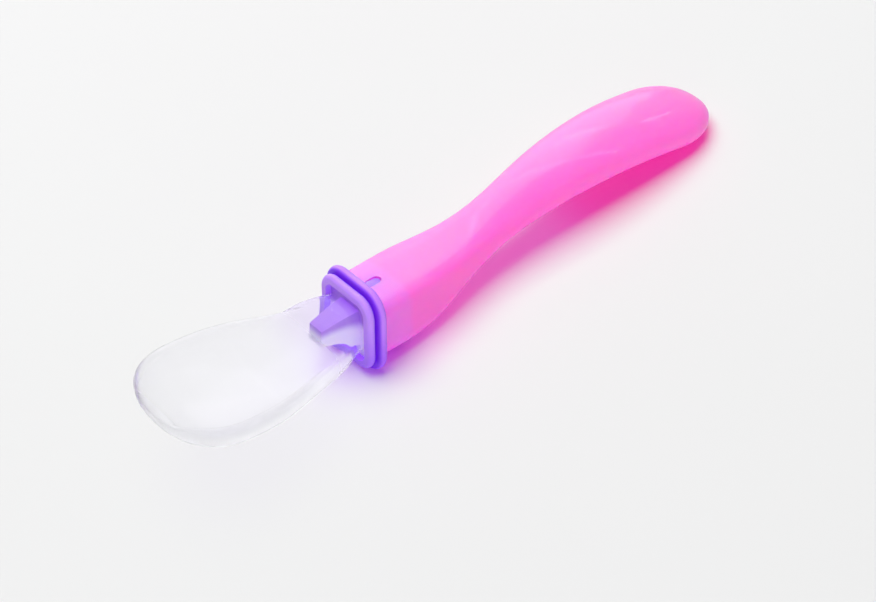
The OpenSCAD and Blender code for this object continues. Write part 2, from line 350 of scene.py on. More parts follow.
def rounded_copy(node: str, name: str, edge: float) -> Object:
    """Copies a CAD node and rounds its sharp edges.

    Args:
        node: The CAD node.
        name: Name of the new piece.
        edge: Radius of the rounded edges, in millimetres.

    Returns:
        The rounded piece.
    """
    mesh = frame["nodes"][node].data.copy()
    mesh.name = name
    work = bmesh.new()
    work.from_mesh(mesh)
    bmesh.ops.remove_doubles(work, verts=work.verts, dist=WELD_MM * MM)
    flat = math.radians(FLAT_DEG)
    bmesh.ops.dissolve_limit(
        work, angle_limit=flat, verts=work.verts, edges=work.edges, delimit={"NORMAL"}
    )
    work.to_mesh(mesh)
    work.free()
    mesh.materials.clear()
    piece = make_object(name, mesh)
    bevel = piece.modifiers.new("edges", "BEVEL")
    bevel.width = edge * MM
    bevel.segments = BEVEL_STEPS
    bevel.limit_method = "ANGLE"
    bevel.angle_limit = math.radians(BEVEL_DEG)
    bevel.use_clamp_overlap = True
    apply_modifiers(piece)
    shade(piece)
    return piece


def dress(piece: Object, finish: Material, body: Body, node: str) -> None:
    """Gives a piece its finish and its body, in place of a CAD node.

    Args:
        piece: The piece.
        finish: Its material.
        body: The body that it rides on.
        node: The CAD node that it replaces.
    """
    piece.data.materials.append(finish)
    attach(piece, body.value)
    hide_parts(node)


class Nodes:
    """Shader nodes of a material or of the surroundings, and the joins between them."""

    def __init__(self, name: str, world: bool = False) -> None:
        """Makes the material or world, empty but for its output.

        Args:
            name: Its name.
            world: Whether it is a world.
        """
        self.owner = (bpy.data.worlds if world else bpy.data.materials).new(name)
        self.owner.use_nodes = True
        self.tree = self.owner.node_tree
        self.tree.nodes.clear()
        self.output = self.add("ShaderNodeOutputWorld" if world else "ShaderNodeOutputMaterial")

    def feed(self, socket: Socket, value: object) -> None:
        """Gives a socket its value.

        Args:
            socket: The socket.
            value: The value, or another socket that it comes from.
        """
        if isinstance(value, Socket):
            self.tree.links.new(value, socket)
        elif socket.type == "RGBA":
            socket.default_value = (*value, 1.0)
        else:
            socket.default_value = value

    def add(self, kind: str, numbered: dict[int, object] | None = None, **named: object) -> Node:
        """Adds a node.

        Args:
            kind: Blender's name for the node.
            numbered: What its sockets take, by number.
            named: Its properties, and what its sockets take, with underscores for spaces.

        Returns:
            The node.
        """
        node = self.tree.nodes.new(kind)
        for key, value in named.items():
            socket = node.inputs.get(key.replace("_", " "))
            if socket is None:
                setattr(node, key, value)
            else:
                self.feed(socket, value)
        for number, value in (numbered or {}).items():
            self.feed(node.inputs[number], value)
        return node

    def place(self) -> Socket:
        """Gives the place on the object."""
        return self.add("ShaderNodeTexCoord").outputs["Object"]

    def spread(self, value: Socket, limits: Span, **named: object) -> Socket:
        """Spreads a value between two limits, from 0 and 1 unless named says otherwise."""
        ends = {"To_Min": limits[0], "To_Max": limits[1]}
        return self.add("ShaderNodeMapRange", Value=value, **ends, **named).outputs["Result"]

    def mix(self, share: Socket, a: Socket | Colour, b: Socket | Colour) -> Socket:
        """Mixes two colours, with share as the share of the second."""
        return self.add("ShaderNodeMix", {0: share, 6: a, 7: b}, data_type="RGBA").outputs[2]

    def along(self, head: HeadFrame, way: Way, places: Span, limits: Span = (0.0, 1.0)) -> Socket:
        """Gives a value that changes softly between two places.

        Args:
            head: Axes of the head.
            way: The axis that the value changes along.
            places: Where the change starts and ends.
            limits: The value there.

        Returns:
            The value's socket.
        """
        direction = head.turn(*way.value)
        start, end = (head.mouth.dot(direction) + place * MM for place in places)
        axis = {0: self.place(), 1: direction}
        dot = self.add("ShaderNodeVectorMath", axis, operation="DOT_PRODUCT").outputs["Value"]
        soft = {"interpolation_type": "SMOOTHSTEP", "From_Min": start, "From_Max": end}
        return self.spread(dot, limits, **soft)

    def noise(self, scale: float, limits: Span, detail: float = 2.0) -> Socket:
        """Gives noise between two limits."""
        spots = self.add("ShaderNodeTexNoise", Vector=self.place(), Scale=scale, Detail=detail)
        return self.spread(spots.outputs["Fac"], limits)

    def finish(
        self, shader: Node, lamp_tint: Socket | Colour | None = None, clear: float = 0.0
    ) -> Material | World:
        """Joins a shader to the output.

        Args:
            shader: The shader.
            lamp_tint: Share of the lamps' light that one wall lets through, if any.
            clear: Share of scattered light that passes straight through.

        Returns:
            The finished material or world.
        """
        surface = shader.outputs[0]
        if lamp_tint is not None:
            through = self.add("ShaderNodeBsdfTransparent", Color=lamp_tint).outputs[0]
            path = self.add("ShaderNodeLightPath").outputs
            scattered = self.spread(path["Is Diffuse Ray"], (0.0, clear))
            either = {0: path["Is Shadow Ray"], 1: scattered}
            passing = self.add("ShaderNodeMath", either, operation="MAXIMUM").outputs[0]
            mixed = self.add("ShaderNodeMixShader", {0: passing, 1: surface, 2: through})
            surface = mixed.outputs[0]
        self.feed(self.output.inputs["Surface"], surface)
        return self.owner


@dataclass(frozen=True)
class Moulded:
    """Moulded surface that lets light spread inside.

    Attributes:
        grain: Scale of the changes in roughness.
        roughness: Lowest and highest roughness.
        glow: Share of the light that spreads inside.
        spread: How far each colour spreads, as a share of the reach.
        reach: Reach of the spread, in millimetres.
        relief: Scale of the fine relief.
        depth: Depth of the relief in millimetres, 0 for none.
        detail: Octaves of the relief.
    """

    grain: float
    roughness: Span
    glow: float
    spread: Triple
    reach: float
    relief: float = 0.0
    depth: float = 0.0
    detail: float = 2.0

    def shader(self, nodes: Nodes, colour: Socket, **named: object) -> Node:
        """Adds the surface's shader.

        Args:
            nodes: Nodes of the material.
            colour: Colour of the surface.
            named: Other sockets of the shader.

        Returns:
            The shader.
        """
        if self.depth:
            height = nodes.noise(self.relief, (0.0, 1.0), self.detail)
            bump = nodes.add("ShaderNodeBump", Distance=self.depth * MM, Height=height)
            named["Normal"] = bump.outputs["Normal"]
        return nodes.add(
            "ShaderNodeBsdfPrincipled",
            Base_Color=colour,
            Roughness=nodes.noise(self.grain, self.roughness),
            Subsurface_Weight=self.glow,
            Subsurface_Radius=self.spread,
            Subsurface_Scale=self.reach * MM,
            **named,
        )


@dataclass(frozen=True)
class PinkPlastic:
    """Glossy, slightly see-through pink moulding, tinted violet over the plug.

    Attributes:
        pink: Its own colour.
        cloudiness: Brightness of its deepest clouds.
        clouds: Scale of the clouds.
        tint, tint_share: Colour that shows over the plug, and how much of it shows.
        plug_end: Where the plug ends.
        plug_edge: How soft that end looks.
        mouth_lamp: Share of the lamps' light that one wall lets through at the mouth.
        waist_lamp: The same at the waist.
        tail_lamp: The same at the tail.
        waist_place: Where the mouth's share turns into the waist's.
        tail_place: Where the waist's share turns into the tail's.
        clear: Share of scattered light that passes straight through.
        surface: How it shines and glows.
        ior: Index of refraction.
        coat, coat_roughness: Weight and roughness of the polished skin.
    """

    pink: Colour = (1.0, 0.13, 0.61)
    cloudiness: float = 0.97
    clouds: float = 40.0
    tint: Colour = (0.6, 0.22, 0.85)
    tint_share: float = 0.2
    plug_end: float = 7.0
    plug_edge: float = 1.0
    mouth_lamp: Colour = (0.92, 0.43, 0.86)
    waist_lamp: Colour = (0.84, 0.29, 0.7)
    tail_lamp: Colour = (0.86, 0.0, 0.57)
    waist_place: Span = (7.0, 20.0)
    tail_place: Span = (46.0, 62.0)
    clear: float = 0.7
    surface: Moulded = Moulded(240.0, (0.38, 0.43), 1.0, (1.0, 0.12, 0.5), 9.0)
    ior: float = 1.49
    coat: float = 0.35
    coat_roughness: float = 0.08

    def material(self, head: HeadFrame) -> Material:
        """Makes the material.

        Args:
            head: Axes of the head.

        Returns:
            The material.
        """
        nodes = Nodes("pink_plastic")
        edge = (self.plug_end + self.plug_edge, self.plug_end - self.plug_edge)
        over_plug = nodes.along(head, Way.BACK, edge, (0.0, self.tint_share))
        cloud = tuple(self.cloudiness * c for c in self.pink)
        cloudy = nodes.mix(nodes.noise(self.clouds, (0.0, 0.5)), self.pink, cloud)
        shader = self.surface.shader(
            nodes,
            nodes.mix(over_plug, cloudy, self.tint),
            IOR=self.ior,
            Coat_Weight=self.coat,
            Coat_Roughness=self.coat_roughness,
        )
        # The lamps' share through the walls changes along the handle to paint the cast shadow
        # deeper near the tail.
        waist = nodes.along(head, Way.BACK, self.waist_place)
        tail = nodes.along(head, Way.BACK, self.tail_place)
        front_lamp = nodes.mix(waist, self.mouth_lamp, self.waist_lamp)
        return nodes.finish(shader, nodes.mix(tail, front_lamp, self.tail_lamp), self.clear)


@dataclass(frozen=True)
class VioletPlastic:
    """Violet moulding of the core, with a painted pale sheen on the tongue's underside and a
    painted white highlight on its tip.

    Attributes:
        deep: Colour of the hub, plug and stem.
        pale: Colour of the tongue.
        painted_underside_sheen: Colour of the tongue's underside, a painted pale sheen for light
            that the silicone round it reflects and scatters.
        tip: Colour of the tongue's tip, white as a painted highlight.
        hub_place: Where the tongue turns into the hub.
        painted_highlight_place: Where the tip's painted highlight turns into the tongue.
        painted_sheen_heights: Height at which the tongue's top turns into its painted pale
            underside.
        painted_sheen_share: How much of the underside's painted sheen shows.
        lamp_tint: Share of the lamps' light that one wall lets through.
        surface: How it shines and glows.
    """

    deep: Colour = (0.36, 0.15, 0.82)
    pale: Colour = (0.38, 0.18, 0.75)
    painted_underside_sheen: Colour = (0.8, 0.75, 0.96)
    tip: Colour = (1.0, 0.96, 1.0)
    hub_place: Span = (-2.75, -1.8)
    painted_highlight_place: Span = (-12.75, -12.2)
    painted_sheen_heights: Span = (1.9, -0.5)
    painted_sheen_share: float = 0.85
    lamp_tint: Colour = (0.8, 0.62, 0.96)
    surface: Moulded = Moulded(300.0, (0.3, 0.36), 0.4, (0.5, 0.3, 1.0), 2.0, 1200.0, 0.004)

    def material(self, head: HeadFrame) -> Material:
        """Makes the material.

        Args:
            head: Axes of the head.

        Returns:
            The material.
        """
        nodes = Nodes("violet_plastic")
        # Painted light: the tongue's underside is paler as a painted sheen, and its tip white as a
        # painted highlight.
        below = nodes.along(head, Way.UP, self.painted_sheen_heights, (0.0, self.painted_sheen_share))
        behind_tip = nodes.along(head, Way.BACK, self.painted_highlight_place)
        tongue = nodes.mix(behind_tip, self.tip, nodes.mix(below, self.pale, self.painted_underside_sheen))
        in_hub = nodes.along(head, Way.BACK, self.hub_place)
        shader = self.surface.shader(nodes, nodes.mix(in_hub, tongue, self.deep))
        return nodes.finish(shader, self.lamp_tint)


@dataclass(frozen=True)
class VioletRubber:
    """Soft satin violet rubber of the collar, with painted shade in the groove and near the table,
    and painted light that makes the front lip paler.

    Attributes:
        groove: Colour in the groove, darker as painted shade.
        rear: Colour of the rear lip.
        front: Colour of the front lip, paler as painted light.
        rear_place: Where the groove turns into the rear lip.
        front_place: Where the groove turns into the front lip.
        painted_shade_heights: Heights between which painted shade deepens the colour toward the
            table.
        painted_shade_share: How much of the groove's colour shows at the table as painted shade.
        lamp_tint: Share of the lamps' light that one wall lets through.
        clear: Share of scattered light that passes straight through.
        surface: How it shines and glows.
    """

    groove: Colour = (0.2, 0.02, 0.8)
    rear: Colour = (0.5, 0.19, 0.95)
    front: Colour = (0.5, 0.25, 0.97)
    rear_place: Span = (-2.1, -1.5)
    front_place: Span = (-2.35, -2.9)
    painted_shade_heights: Span = (4.0, -9.0)
    painted_shade_share: float = 0.6
    lamp_tint: Colour = (0.74, 0.42, 0.86)
    clear: float = 0.6
    surface: Moulded = Moulded(
        500.0, (0.42, 0.55), 0.3, (0.5, 0.3, 1.0), 1.5, relief=2600.0, depth=0.008, detail=4.0
    )

    def material(self, head: HeadFrame) -> Material:
        """Makes the material.

        Args:
            head: Axes of the head.

        Returns:
            The material.
        """
        nodes = Nodes("violet_rubber")
        # Painted shade and light: the groove is darker than the lips, and the front lip is paler.
        behind = nodes.mix(nodes.along(head, Way.BACK, self.rear_place), self.groove, self.rear)
        lips = nodes.mix(nodes.along(head, Way.BACK, self.front_place), behind, self.front)
        # Painted shade: the colour deepens toward the groove's colour near the table.
        low = nodes.along(head, Way.UP, self.painted_shade_heights, (0.0, self.painted_shade_share))
        shader = self.surface.shader(nodes, nodes.mix(low, lips, self.groove))
        return nodes.finish(shader, self.lamp_tint, self.clear)


@dataclass(frozen=True)
class ClearSilicone:
    """Clear soft silicone with a faint cold cast, a little milky, and deeper lilac toward the
    neck.

    Attributes:
        colour: Colour of the bowl.
        neck: Colour of the neck.
        neck_place: Where the bowl's colour turns into the neck's.
        haze: Roughness of the bowl and of the neck.
        crisp_place: Where the bowl's roughness turns into the neck's.
        lamp_tint: Share of the lamps' light that one wall lets through.
        clear: Share of scattered light that passes straight through.
        clearness: Share of the light that the silicone lets in.
        ior: Index of refraction.
        skin, skin_roughness: Weight and roughness of the glossy skin.
    """

    colour: Colour = (0.955, 0.955, 0.975)
    neck: Colour = (0.86, 0.81, 0.96)
    neck_place: Span = (-19.0, -7.0)
    haze: Span = (0.33, 0.18)
    crisp_place: Span = (-13.5, -12.9)
    lamp_tint: Colour = (0.985, 0.98, 0.995)
    clear: float = 1.0
    clearness: float = 0.97
    ior: float = 1.12
    skin: float = 0.2
    skin_roughness: float = 0.12

    def material(self, head: HeadFrame) -> Material:
        """Makes the material.

        Args:
            head: Axes of the head.

        Returns:
            The material.
        """
        nodes = Nodes("clear_silicone")
        in_neck = nodes.along(head, Way.BACK, self.neck_place)
        shader = nodes.add(
            "ShaderNodeBsdfPrincipled",
            Base_Color=nodes.mix(in_neck, self.colour, self.neck),
            Roughness=nodes.along(head, Way.BACK, self.crisp_place, self.haze),
            Transmission_Weight=self.clearness,
            IOR=self.ior,
            Coat_Weight=self.skin,
            Coat_Roughness=self.skin_roughness,
        )
        return nodes.finish(shader, self.lamp_tint, self.clear)


@dataclass
class Handle:
    """Pink S-curved handle with its stepped socket and the latch's window, in millimetres.

    Attributes:
        length: Length along the head axis.
        widths, heights: Share of the length and size of each station.
        rises: Share of the length and share of the arch's rise of each station.
        arch_rise: How far the handle's middle line rises above the head axis.
        tail_round, tail_power: Length and squareness of the rounded tail.
        corners: Squareness of the section at the mouth and at the grip.
        turning: Shares of the length between which it changes.
        mouth_edge: Radius of the mouth's rounded edge.
        plug: Width, height and corner radius of the plug.
        plug_len: Length of the plug.
        plug_fit: Gap round the plug and stem.
        stem: Width of the stem, and its lowest and highest height.
        stem_end: Where the stem ends.
        window: Place, length and width of the latch's window.
        window_spare: How far its cutter reaches past the wall.
        tail_reach: Share of the rounded tail that is drawn before it is closed.
    """

    length: float = 95.0
    widths: Stations = (
        (0, 16.3), (0.146, 16.1), (0.276, 13), (0.496, 15.3), (0.827, 21), (1, 21),
    )
    heights: Stations = (
        (0, 13.7), (0.146, 12.8), (0.276, 8.8), (0.496, 9.1), (0.827, 9.5), (1, 9.5),
    )
    rises: Stations = (
        (0, 0), (0.156, 0.135), (0.324, 0.462), (0.512, 0.821),
        (0.644, 0.958), (0.777, 1), (0.9, 0.968), (1, 0.96),
    )
    arch_rise: float = 16.6
    tail_round: float = 13.0
    tail_power: float = 2.2
    corners: Span = (5.5, 2.4)
    turning: Span = (0.12, 0.4)
    mouth_edge: float = 0.45
    plug: Triple = (12.4, 11.2, 2.0)
    plug_len: float = 7.0
    plug_fit: float = 0.05
    stem: Triple = (7.0, -3.1265, 5.6)
    stem_end: float = 14.2
    window: Triple = (3.2, 3.9, 2.3)
    window_spare: float = 1.0
    tail_reach: float = 0.9997
    # Counts of points and sections, for the tail and the rest, and for the plug and the stem
    points: int = 128
    window_points: int = 48
    rings: Counts = (40, 200)
    edge_rings: int = 7
    bore_rings: Counts = (8, 6)
    width: Curve = field(init=False)
    height: Curve = field(init=False)
    rise: Curve = field(init=False)
    tail_from: float = field(init=False)
    turns: np.ndarray = field(init=False)

    def __post_init__(self) -> None:
        """Turns the stations into curves along the handle."""
        self.width = Curve([(s * self.length, w) for s, w in self.widths])
        self.height = Curve([(s * self.length, h) for s, h in self.heights])
        self.rise = Curve([(s * self.length, r * self.arch_rise) for s, r in self.rises])
        self.tail_from = self.length - self.tail_round
        self.turns = np.linspace(0, 2 * math.pi, self.points, endpoint=False)

    def squareness(self, x: float) -> float:
        """Gives the section's squareness at a place."""
        start, end = (share * self.length for share in self.turning)
        return between(self.corners, blend(x, start, end))

    def section(self, x: float, inset: float = 0.0) -> np.ndarray:
        """Draws the outer ring at a place.

        Args:
            x: Place along the head axis.
            inset: How far the section is drawn in, for a rounded edge.

        Returns:
            The ring of points.
        """
        open_share = closing((x - self.tail_from) / self.tail_round, self.tail_power)
        half_w = self.width(x) / 2 * open_share - inset
        half_h = self.height(x) / 2 * open_share - inset
        return ring(x, oval(self.turns, half_w, half_h, self.squareness(x)), self.rise(x))

    def outer_rings(self) -> list[np.ndarray]:
        """Draws the outside, from the tail's tip to the rounded edge of the mouth.

        Returns:
            The rings of points.
        """
        ends = np.sin(np.linspace(math.pi / 2, 0, self.rings[0]))
        tail = [self.tail_from + self.tail_round * min(e, self.tail_reach) for e in ends]
        body = list(np.linspace(self.tail_from, self.mouth_edge, self.rings[1]))[1:]
        rings = [self.section(x) for x in tail + body]
        for turn in np.linspace(0, math.pi / 2, self.edge_rings)[1:]:
            x = self.mouth_edge * (1 - math.sin(turn))
            rings.append(self.section(x, self.mouth_edge * (1 - math.cos(turn))))
        return rings

    def socket_rings(self) -> list[np.ndarray]:
        """Draws the stepped socket, from the mouth to its closed end.

        Returns:
            The rings of points.
        """
        w, h, r = self.plug
        stem_w, low, high = self.stem
        fit = self.plug_fit
        bore = rounded_oblong(self.turns, w + 2 * fit, h + 2 * fit, r + fit)
        step = rounded_oblong(self.turns, stem_w + 2 * fit, high - low + 2 * fit, fit)
        middle = (high + low) / 2
        plug_end, stem_end = self.plug_len + fit, self.stem_end + fit
        first, last = self.bore_rings
        plug = [ring(x, bore) for x in np.linspace(0, plug_end, first)]
        return plug + [ring(x, step, middle) for x in np.linspace(plug_end, stem_end, last)]

    def window_cutter(self, head: HeadFrame) -> Object:
        """Makes the pill that is cut through the top for the latch.

        Args:
            head: Axes of the head.

        Returns:
            The cutter.
        """
        at, length, w = self.window
        turns = np.linspace(0, 2 * math.pi, self.window_points, endpoint=False)
        along = np.where(np.cos(turns) > 0, 1, -1) * (length - w) / 2
        outline = np.column_stack([at + along + np.cos(turns) * w / 2, np.sin(turns) * w / 2])
        low = self.plug[1] / 2 - self.window_spare
        high = self.rise(at) + self.height(at) / 2 + self.window_spare
        rings = [np.column_stack([outline, np.full(len(outline), z)]) for z in (low, high)]
        return skin("window_cutter", rings, head)

    def build(self, head: HeadFrame) -> Object:
        """Builds the handle.

        Args:
            head: Axes of the head.

        Returns:
            The handle's piece.
        """
        piece = skin("handle_moulding", self.outer_rings() + self.socket_rings(), head)
        shade(piece)
        cutter = self.window_cutter(head)
        shade(cutter)
        cut(piece, cutter)
        shade(piece)
        return piece

    def dress(self, piece: Object, head: HeadFrame) -> None:
        """Gives the handle its finish and its body."""
        finish = PinkPlastic(plug_end=self.plug_len).material(head)
        dress(piece, finish, Body.HANDLE, "handle")


@dataclass
class Bowl:
    """Clear bowl that fills up into an oval neck, in millimetres.

    Attributes:
        length: Length from the tip to the handle's mouth.
        bowl_w, depth: Greatest width and depth.
        wall: Thickness of the soft wall.
        tip_round, tip_power: Length and squareness of the rounded tip.
        rim_rise: How far the rim stands above the head axis.
        neck: Width and height of the neck.
        neck_from: Rear end of the neck.
        neck_end: Length of the neck's straight end.
        squareness: Squareness of the section at the neck and at the bowl.
        widths, depths: Share of the length and share of the size of each station.
        filling: Shares of the length between which the trough fills up.
        crown: Height of the rounded rim, as a share of the wall.
        solid_share: Least share of the width that the trough takes at the tip.
        neck_edge: Angle of the neck's section that the rim runs out into, in radians.
        tip_reach: Share of the rounded tip that is drawn before it is closed.
    """

    length: float = 51.5
    bowl_w: float = 31.8
    depth: float = 9.2
    wall: float = 1.9
    tip_round: float = 14.0
    tip_power: float = 2.3
    rim_rise: float = 0.6
    neck: Span = (12.8, 10.8)
    neck_from: float = -2.8
    neck_end: float = 1.2
    squareness: Span = (3.4, 2.3)
    widths: Stations = (
        (0, 0.97), (0.14, 0.99), (0.26, 1), (0.42, 0.98), (0.57, 0.86), (0.7, 0.71), (0.82, 0.57),
    )
    depths: Stations = (
        (0, 0.8), (0.2, 0.95), (0.4, 1), (0.6, 0.9), (0.75, 0.72), (0.85, 0.6),
    )
    filling: Span = (0.52, 0.9)
    crown: float = 0.3
    solid_share: float = 0.8
    neck_edge: float = 0.12
    tip_reach: float = 0.9995
    # Counts of points on a side and round the rim, and of sections along the tip and the rest
    side: int = 72
    edge: int = 9
    rings: Counts = (48, 120)
    tip: float = field(init=False)
    width: Curve = field(init=False)
    drop: Curve = field(init=False)

    def __post_init__(self) -> None:
        """Turns the stations into curves along the bowl."""
        self.tip = -self.length
        neck_w, neck_h = self.neck
        ends = (self.neck_from - self.neck_end, self.neck_from)
        widths = [(self.at(share), w * self.bowl_w) for share, w in self.widths]
        depths = [(self.at(share), d * self.depth) for share, d in self.depths]
        self.width = Curve(widths + [(x, neck_w) for x in ends])
        self.drop = Curve(depths + [(x, neck_h / 2) for x in ends])

    def at(self, share: float) -> float:
        """Gives the place along the head axis at a share of the length."""
        return self.tip + share * self.length

    def section(self, x: float) -> np.ndarray:
        """Draws the ring at a place: under half, rim, upper half, rim.

        Args:
            x: Place along the head axis.

        Returns:
            The ring of points.
        """
        opened = 1 - blend(x, *map(self.at, self.filling))
        from_round = self.tip + self.tip_round - x
        outer_open = closing(from_round / self.tip_round, self.tip_power)
        inner_open = closing(from_round / (self.tip_round - self.wall), self.tip_power)
        full, depth = self.width(x) / 2, self.drop(x)
        outer = full * outer_open
        trough = max((full - self.wall) * inner_open, outer * self.solid_share)
        lift = self.crown * self.wall * outer_open
        hollow = lift * (1 - inner_open) - (depth - self.wall) * inner_open
        square = between(self.squareness, opened)
        below = np.linspace(math.pi, 2 * math.pi, self.side)
        under = oval(below, outer, depth * outer_open, square)
        over_open = oval(np.linspace(0, math.pi, self.side), trough, abs(hollow), square)
        over_open[:, 1] *= math.copysign(1, hollow)
        rim = (outer - trough) / 2
        arc = np.linspace(0, math.pi, self.edge + 2)[1:-1]
        rise = lift * min(1.0, 2 * rim / self.wall)
        across = (outer + trough) / 2 + rim * np.cos(arc)
        edge_open = np.column_stack([across, rise * np.sin(arc)])
        above = np.linspace(self.neck_edge, math.pi - self.neck_edge, self.side)
        over_neck = oval(above, outer, self.neck[1] / 2, square)
        beside = np.linspace(0, self.neck_edge, self.edge + 2)[1:-1]
        edge_neck = oval(beside, outer, self.neck[1] / 2, square)
        over = opened * over_open + (1 - opened) * over_neck
        edge = opened * edge_open + (1 - opened) * edge_neck
        far_edge = edge[::-1] * (-1, 1)
        return ring(x, np.concatenate([under, edge, over, far_edge]), self.rim_rise * opened)

    def build(self, head: HeadFrame) -> Object:
        """Builds the bowl.

        Args:
            head: Axes of the head.

        Returns:
            The bowl's piece.
        """
        start = self.tip + self.tip_round
        ends = np.sin(np.linspace(math.pi / 2, 0, self.rings[0]))
        tip = [start - self.tip_round * min(e, self.tip_reach) for e in ends]
        body = list(np.linspace(start, self.neck_from, self.rings[1]))[1:]
        piece = skin("silicone_bowl", [self.section(x) for x in tip + body], head)
        shade(piece, SOFT_DEG)
        return piece

    def dress(self, piece: Object, head: HeadFrame) -> None:
        """Gives the bowl its finish and its body."""
        dress(piece, ClearSilicone().material(head), Body.HEAD, "bowl")


@dataclass
class Collar:
    """Soft ring with two rounded lips and a groove between them, in millimetres.

    Attributes:
        hole: Width, height and corner radius of the hole.
        length: Where its front end lies before the handle's mouth.
        gap: Gap between the collar and the handle.
        rear_lip: Thickness and reach of the rear lip, measured from the hole.
        front_lip: Thickness and reach of the front lip.
        groove: Reach of the groove's floor.
        least_dip: Least half width of the groove.
        face_steps: Reaches of the points on the flat end faces.
    """

    hole: Triple = (13.2, 14.0, 2.4)
    length: float = 4.2
    gap: float = 0.05
    rear_lip: Span = (2.1, 3.1)
    front_lip: Span = (1.9, 2.0)
    groove: float = 1.1
    least_dip: float = 0.05
    face_steps: Triple = (0.0, 0.5, 1.0)
    # Counts of points along each stretch of the section and of the hole
    lip_steps: int = 15
    groove_steps: int = 9
    bore_steps: int = 6
    corner_steps: int = 20
    side_steps: int = 10

    def profile(self) -> list[Span]:
        """Draws the section, from the hole round the lips and back along the hole.

        Returns:
            Place along the head axis of each point, and its reach from the hole.
        """
        (rear_t, rear_reach), (front_t, front_reach) = self.rear_lip, self.front_lip
        front_at, rear_at = -self.length + front_t / 2, -self.gap - rear_t / 2
        floor_from, floor_to = rear_at - rear_t / 2, front_at + front_t / 2
        dip = max((floor_from - floor_to) / 2, self.least_dip)
        points = [(-self.gap, reach) for reach in self.face_steps]
        points += half_turn(rear_at, rear_reach, rear_t / 2, rear_t / 2, self.lip_steps)
        points += half_turn(floor_to + dip, self.groove, dip, -dip, self.groove_steps)
        points += half_turn(front_at, front_reach, front_t / 2, front_t / 2, self.lip_steps)
        points += [(-self.length, reach) for reach in self.face_steps[1::-1]]
        bore = np.linspace(-self.length, -self.gap, self.bore_steps)[1:-1]
        return points + [(x, 0.0) for x in bore]

    def path(self) -> list[tuple[Vector, Vector]]:
        """Walks round the hole.

        Returns:
            Points of the hole's outline with their outward normals, in Y and Z.
        """
        w, h, r = self.hole
        steps = []
        for quarter, (y, z) in enumerate(((1, 1), (-1, 1), (-1, -1), (1, -1))):
            centre = Vector((y * (w / 2 - r), z * (h / 2 - r)))
            for turn in np.linspace(quarter, quarter + 1, self.corner_steps) * math.pi / 2:
                normal = Vector((math.cos(turn), math.sin(turn)))
                steps.append((centre + normal * r, normal))
        return steps

    def build(self, head: HeadFrame) -> Object:
        """Builds the collar.

        Args:
            head: Axes of the head.

        Returns:
            The collar's piece, flat where it stands on the table.
        """
        reaches = np.array(self.profile())
        rings = []
        steps = self.path()
        for (point, normal), (after, _) in zip(steps, steps[1:] + steps[:1]):
            stretch = self.side_steps if (after - point).length > 1 else 1
            for share in np.arange(stretch) / stretch:
                base = np.array(point.lerp(after, share))
                outline = base + reaches[:, 1:] * np.array(normal)
                rings.append(np.column_stack([reaches[:, 0], outline]))
        piece = skin("soft_collar", rings, head, loop=True)
        for vertex in piece.data.vertices:
            vertex.co.z = max(vertex.co.z, 0.0)
        shade(piece, SOFT_DEG)
        return piece

    def dress(self, piece: Object, head: HeadFrame) -> None:
        """Gives the collar its finish and its body."""
        dress(piece, VioletRubber().material(head), Body.HEAD, "collar")


@dataclass
class Core:
    """Violet moulding inside: tongue, hub, plug and stem, with the latch finger on it.

    Attributes:
        edge: Radius of the core's rounded edges, in millimetres.
        nub_edge: Radius of the finger's rounded edges.
        hinge: Place and height of the latch's hinge in the head's axes.
    """

    edge: float = 0.25
    nub_edge: float = 0.12
    hinge: Span = (12.2, 5.05)

    def build(self) -> tuple[Object, Object]:
        """Builds the core and the finger, with their edges rounded as moulded ones are."""
        return (
            rounded_copy("core", "core_moulding", self.edge),
            rounded_copy("latch_finger", "latch_finger_moulding", self.nub_edge),
        )

    def dress(self, core: Object, finger: Object, head: HeadFrame) -> None:
        """Gives both pieces their finish and their bodies.

        Args:
            core: The core's piece.
            finger: The finger's piece.
            head: Axes of the head.
        """
        finish = VioletPlastic().material(head)
        dress(core, finish, Body.HEAD, "core")
        dress(finger, finish, Body.LATCH, "latch_finger")


@dataclass(frozen=True)
class SoftPanel:
    """A soft lamp that faces the middle of the spoon.

    Attributes:
        name: Name of the lamp.
        azimuth: Compass angle that it hangs at, in degrees.
        elevation: Angle above the table, in degrees.
        distance: Distance from the spoon, in metres.
        width, height: Size, in metres.
        radiance: Brightness of its face.
        use: What it is for.
    """

    name: str
    azimuth: float
    elevation: float
    distance: float
    width: float
    height: float
    radiance: float
    use: Use

    def hang(self) -> None:
        """Hangs the lamp."""
        a, e = math.radians(self.azimuth), math.radians(self.elevation)
        toward = Vector((math.cos(a) * math.cos(e), math.sin(a) * math.cos(e), math.sin(e)))
        data = bpy.data.lights.new(self.name, "AREA")
        data.shape = "RECTANGLE"
        data.size, data.size_y = self.width, self.height
        data.energy = self.radiance * math.pi * self.width * self.height
        lamp = make_object(self.name, data)
        lamp.visible_diffuse = self.use is Use.LIGHT
        lamp.visible_glossy = self.use is Use.GLOSS
        lamp.visible_transmission = False
        lamp.location = toward * self.distance
        lamp.rotation_mode = "QUATERNION"
        lamp.rotation_quaternion = (-toward).to_track_quat("-Z", "Y")


